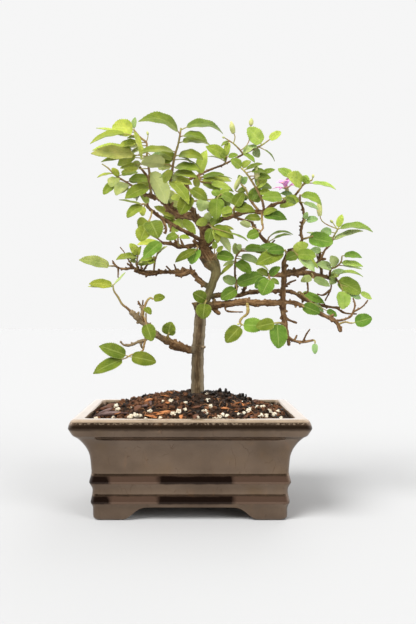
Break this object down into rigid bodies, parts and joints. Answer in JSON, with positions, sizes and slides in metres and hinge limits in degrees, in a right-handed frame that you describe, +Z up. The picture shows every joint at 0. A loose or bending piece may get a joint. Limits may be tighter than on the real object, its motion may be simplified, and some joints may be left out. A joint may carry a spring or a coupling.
{
  "type": "bonsai tree in pot",
  "caption": "Small flowering tree with thin twisting branches and serrated leaves, planted in a mound of soil in a dark glazed rectangular pot on corner feet.",
  "frame": {"origin": "middle of the whole outline, on the plane that the pot's four feet stand on; the pot's own middle lies 21 mm towards -X from it", "axes": "+Z up along the trunk, the front seen in the picture towards -Y, +X to the right"},
  "size_m": [0.204, 0.1182, 0.272],
  "materials": {
    "glaze": "glossy grey-brown glaze on stoneware",
    "soil": "crumbly dark potting soil with bark and perlite",
    "screen": "plain drainage mesh",
    "bark": "grey-brown streaked bark",
    "leaf": "satin green leaf, paler below",
    "sepal": "olive green sepal, pink above",
    "petal": "lavender pink petal",
    "stamen": "cream stamen"
  },
  "bodies": {
    "root": {"pot": "glaze", "soil": "soil", "drain_screen_left": "screen", "drain_screen_right": "screen", "trunk_and_branches": "bark", "flower_sepals": "sepal", "flower_petals": "petal", "flower_stamens": "stamen", "crown": "leaf", "upper_left_riser": "leaf", "upper_left_tip": "leaf", "left_dark_tip": "leaf", "left_round": "leaf", "left_knot_leaves": "leaf", "upper_left_back": "leaf", "mid_left_fan": "leaf", "mid_left_tip": "leaf", "mid_left_upright": "leaf", "left_twin": "leaf", "lower_left_tip": "leaf", "lower_left_reach": "leaf", "lower_left_bright": "leaf", "lower_left_drop": "leaf", "trunk_front": "leaf", "middle_right_fork": "leaf", "right_stub_leaves": "leaf", "up_twig_leaves": "leaf", "riser_top_left": "leaf", "hanging_twig": "leaf", "riser_low_leaves": "leaf", "riser_foot_leaf": "leaf", "lower_right_leaf": "leaf", "middle_right_bright": "leaf", "lower_right_end": "leaf", "right_end_drop": "leaf", "right_middle_teal": "leaf", "right_end_fan": "leaf", "far_right_top": "leaf", "riser_top_right": "leaf", "right_riser_leaf": "leaf", "right_riser_top": "leaf", "right_riser_teal": "leaf", "right_upper_tip": "leaf", "flower_shoot": "leaf", "centre_front": "leaf", "long_twig_near": "leaf", "long_twig_middle": "leaf", "long_twig_tip": "leaf", "long_twig_buds": "leaf", "red_twig": "leaf", "right_upper_leaves": "leaf", "fork_left": "leaf", "fork_right": "leaf", "leader_leaves": "leaf", "knuckle_leaf": "leaf", "down_twig": "leaf", "dead_tip": "leaf"}
  },
  "joints": []
}
